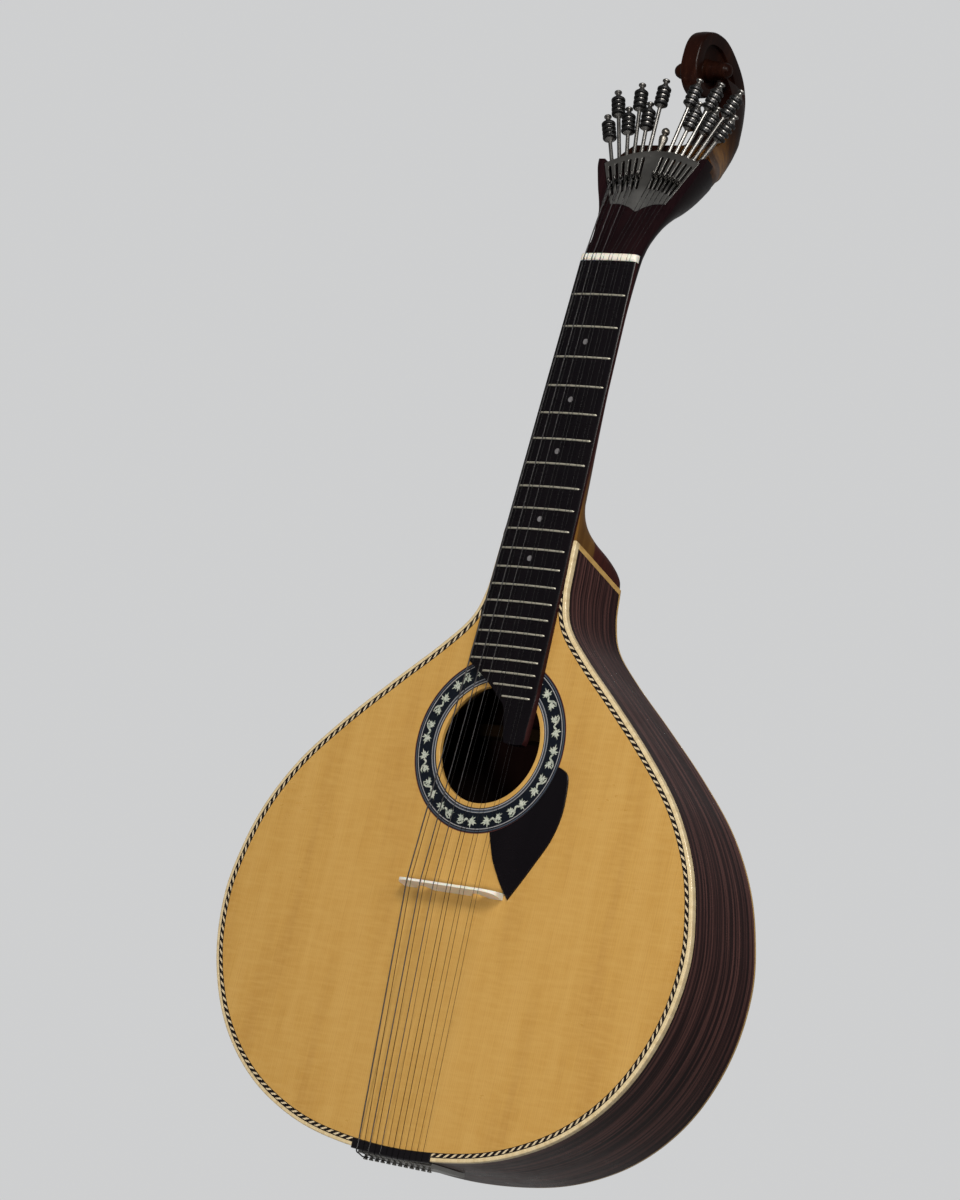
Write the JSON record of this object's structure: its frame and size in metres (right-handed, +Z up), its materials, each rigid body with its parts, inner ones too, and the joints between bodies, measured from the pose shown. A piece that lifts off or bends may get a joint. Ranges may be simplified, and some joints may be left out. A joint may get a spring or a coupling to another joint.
{
  "type": "portuguese guitar",
  "caption": "Pear-shaped plucked string instrument with paired metal strings, a fan of screw tuners on a carved head and a curled scroll.",
  "frame": {"origin": "middle of the flat outer face of the tailpiece, at the lower end of the body", "axes": "+Z up along the neck, -Y out of the soundboard, +X towards the treble side"},
  "size_m": [0.3898, 0.1235, 0.8196],
  "materials": {
    "spruce_top": "gloss lacquer, straight vertical grain",
    "rosewood": "gloss lacquer, streaked",
    "mahogany": "gloss lacquer",
    "figured_walnut": "gloss lacquer, figured",
    "maple_binding": "gloss",
    "rope_purfling": "gloss, slanted dark and light pieces",
    "cedar_block": "bare",
    "spruce_brace": "bare",
    "rosette_inlay": "gloss, inlaid",
    "ebony": "satin",
    "bone": "satin",
    "tail_metal": "satin",
    "plate_metal": "brushed",
    "knob_steel": "darkened in the grooves",
    "hook_steel": "satin",
    "string_steel": "bright",
    "finial_brass": "polished"
  },
  "bodies": {
    "instrument": {"soundboard": "spruce_top", "back_plate": "rosewood", "rib_bass": "rosewood", "rib_treble": "rosewood", "top_binding": "maple_binding", "back_binding": "maple_binding", "purfling": "rope_purfling", "neck_block": "cedar_block", "tail_block": "cedar_block", "upper_top_brace": "spruce_brace", "lower_top_brace": "spruce_brace", "upper_back_brace": "spruce_brace", "lower_back_brace": "spruce_brace", "rosette": "rosette_inlay", "pickguard": "ebony", "fingerboard": "ebony", "neck": "mahogany", "scroll": "figured_walnut", "nut": "bone", "bridge": "bone", "saddle": "ebony", "tailpiece": "tail_metal", "tuner_plate": "plate_metal", "finial_post": "finial_brass", "string_01": "string_steel", "string_02": "string_steel", "string_03": "string_steel", "string_04": "string_steel", "string_05": "string_steel", "string_06": "string_steel", "string_07": "string_steel", "string_08": "string_steel", "string_09": "string_steel", "string_10": "string_steel", "string_11": "string_steel", "string_12": "string_steel"},
    "knob_body_01": {"tuner_knob_01": "knob_steel"},
    "hook_body_01": {"hook_01": "hook_steel"},
    "knob_body_02": {"tuner_knob_02": "knob_steel"},
    "hook_body_02": {"hook_02": "hook_steel"},
    "knob_body_03": {"tuner_knob_03": "knob_steel"},
    "hook_body_03": {"hook_03": "hook_steel"},
    "knob_body_04": {"tuner_knob_04": "knob_steel"},
    "hook_body_04": {"hook_04": "hook_steel"},
    "knob_body_05": {"tuner_knob_05": "knob_steel"},
    "hook_body_05": {"hook_05": "hook_steel"},
    "knob_body_06": {"tuner_knob_06": "knob_steel"},
    "hook_body_06": {"hook_06": "hook_steel"},
    "knob_body_07": {"tuner_knob_07": "knob_steel"},
    "hook_body_07": {"hook_07": "hook_steel"},
    "knob_body_08": {"tuner_knob_08": "knob_steel"},
    "hook_body_08": {"hook_08": "hook_steel"},
    "knob_body_09": {"tuner_knob_09": "knob_steel"},
    "hook_body_09": {"hook_09": "hook_steel"},
    "knob_body_10": {"tuner_knob_10": "knob_steel"},
    "hook_body_10": {"hook_10": "hook_steel"},
    "knob_body_11": {"tuner_knob_11": "knob_steel"},
    "hook_body_11": {"hook_11": "hook_steel"},
    "knob_body_12": {"tuner_knob_12": "knob_steel"},
    "hook_body_12": {"hook_12": "hook_steel"}
  },
  "joints": [
    {"name": "tuner_turn_01", "type": "hinge", "parent": "instrument", "child": "knob_body_01", "pos_m": [0, -0.01228, 0.6292], "axis": [0.4226, -0.1261, -0.8975], "range_deg": [-3600, 3600]},
    {"name": "hook_slide_01", "type": "slide", "parent": "instrument", "child": "hook_body_01", "axis": [-0.4226, 0.1261, 0.8975], "range_m": [-0.00801, 0.00801], "deforming": ["string_01"]},
    {"name": "tuner_turn_02", "type": "hinge", "parent": "instrument", "child": "knob_body_02", "pos_m": [0, -0.01228, 0.6292], "axis": [0.3603, -0.1298, -0.9237], "range_deg": [-3600, 3600]},
    {"name": "hook_slide_02", "type": "slide", "parent": "instrument", "child": "hook_body_02", "axis": [-0.3603, 0.1298, 0.9237], "range_m": [-0.00801, 0.00801], "deforming": ["string_02"]},
    {"name": "tuner_turn_03", "type": "hinge", "parent": "instrument", "child": "knob_body_03", "pos_m": [0, -0.01228, 0.6292], "axis": [0.2964, -0.1329, -0.9458], "range_deg": [-3600, 3600]},
    {"name": "hook_slide_03", "type": "slide", "parent": "instrument", "child": "hook_body_03", "axis": [-0.2964, 0.1329, 0.9458], "range_m": [-0.00801, 0.00801], "deforming": ["string_03"]},
    {"name": "tuner_turn_04", "type": "hinge", "parent": "instrument", "child": "knob_body_04", "pos_m": [0, -0.01228, 0.6292], "axis": [0.2311, -0.1354, -0.9635], "range_deg": [-3600, 3600]},
    {"name": "hook_slide_04", "type": "slide", "parent": "instrument", "child": "hook_body_04", "axis": [-0.2311, 0.1354, 0.9635], "range_m": [-0.00801, 0.00801], "deforming": ["string_04"]},
    {"name": "tuner_turn_05", "type": "hinge", "parent": "instrument", "child": "knob_body_05", "pos_m": [0, -0.01228, 0.6292], "axis": [0.1647, -0.1373, -0.9767], "range_deg": [-3600, 3600]},
    {"name": "hook_slide_05", "type": "slide", "parent": "instrument", "child": "hook_body_05", "axis": [-0.1647, 0.1373, 0.9767], "range_m": [-0.00801, 0.00801], "deforming": ["string_05"]},
    {"name": "tuner_turn_06", "type": "hinge", "parent": "instrument", "child": "knob_body_06", "pos_m": [0, -0.01228, 0.6292], "axis": [0.0976, -0.1385, -0.9855], "range_deg": [-3600, 3600]},
    {"name": "hook_slide_06", "type": "slide", "parent": "instrument", "child": "hook_body_06", "axis": [-0.0976, 0.1385, 0.9855], "range_m": [-0.00801, 0.00801], "deforming": ["string_06"]},
    {"name": "tuner_turn_07", "type": "hinge", "parent": "instrument", "child": "knob_body_07", "pos_m": [0, -0.01228, 0.6292], "axis": [-0.0976, -0.1385, -0.9855], "range_deg": [-3600, 3600]},
    {"name": "hook_slide_07", "type": "slide", "parent": "instrument", "child": "hook_body_07", "axis": [0.0976, 0.1385, 0.9855], "range_m": [-0.00801, 0.00801], "deforming": ["string_07"]},
    {"name": "tuner_turn_08", "type": "hinge", "parent": "instrument", "child": "knob_body_08", "pos_m": [0, -0.01228, 0.6292], "axis": [-0.1647, -0.1373, -0.9767], "range_deg": [-3600, 3600]},
    {"name": "hook_slide_08", "type": "slide", "parent": "instrument", "child": "hook_body_08", "axis": [0.1647, 0.1373, 0.9767], "range_m": [-0.00801, 0.00801], "deforming": ["string_08"]},
    {"name": "tuner_turn_09", "type": "hinge", "parent": "instrument", "child": "knob_body_09", "pos_m": [0, -0.01228, 0.6292], "axis": [-0.2311, -0.1354, -0.9635], "range_deg": [-3600, 3600]},
    {"name": "hook_slide_09", "type": "slide", "parent": "instrument", "child": "hook_body_09", "axis": [0.2311, 0.1354, 0.9635], "range_m": [-0.00801, 0.00801], "deforming": ["string_09"]},
    {"name": "tuner_turn_10", "type": "hinge", "parent": "instrument", "child": "knob_body_10", "pos_m": [0, -0.01228, 0.6292], "axis": [-0.2964, -0.1329, -0.9458], "range_deg": [-3600, 3600]},
    {"name": "hook_slide_10", "type": "slide", "parent": "instrument", "child": "hook_body_10", "axis": [0.2964, 0.1329, 0.9458], "range_m": [-0.00801, 0.00801], "deforming": ["string_10"]},
    {"name": "tuner_turn_11", "type": "hinge", "parent": "instrument", "child": "knob_body_11", "pos_m": [0, -0.01228, 0.6292], "axis": [-0.3603, -0.1298, -0.9237], "range_deg": [-3600, 3600]},
    {"name": "hook_slide_11", "type": "slide", "parent": "instrument", "child": "hook_body_11", "axis": [0.3603, 0.1298, 0.9237], "range_m": [-0.00801, 0.00801], "deforming": ["string_11"]},
    {"name": "tuner_turn_12", "type": "hinge", "parent": "instrument", "child": "knob_body_12", "pos_m": [0, -0.01228, 0.6292], "axis": [-0.4226, -0.1261, -0.8975], "range_deg": [-3600, 3600]},
    {"name": "hook_slide_12", "type": "slide", "parent": "instrument", "child": "hook_body_12", "axis": [0.4226, 0.1261, 0.8975], "range_m": [-0.00801, 0.00801], "deforming": ["string_12"]}
  ],
  "couplings": [
    {"joint": "hook_slide_01", "follows": "tuner_turn_01", "m_per_rad": 0.00012732},
    {"joint": "hook_slide_02", "follows": "tuner_turn_02", "m_per_rad": 0.00012732},
    {"joint": "hook_slide_03", "follows": "tuner_turn_03", "m_per_rad": 0.00012732},
    {"joint": "hook_slide_04", "follows": "tuner_turn_04", "m_per_rad": 0.00012732},
    {"joint": "hook_slide_05", "follows": "tuner_turn_05", "m_per_rad": 0.00012732},
    {"joint": "hook_slide_06", "follows": "tuner_turn_06", "m_per_rad": 0.00012732},
    {"joint": "hook_slide_07", "follows": "tuner_turn_07", "m_per_rad": 0.00012732},
    {"joint": "hook_slide_08", "follows": "tuner_turn_08", "m_per_rad": 0.00012732},
    {"joint": "hook_slide_09", "follows": "tuner_turn_09", "m_per_rad": 0.00012732},
    {"joint": "hook_slide_10", "follows": "tuner_turn_10", "m_per_rad": 0.00012732},
    {"joint": "hook_slide_11", "follows": "tuner_turn_11", "m_per_rad": 0.00012732},
    {"joint": "hook_slide_12", "follows": "tuner_turn_12", "m_per_rad": 0.00012732}
  ]
}
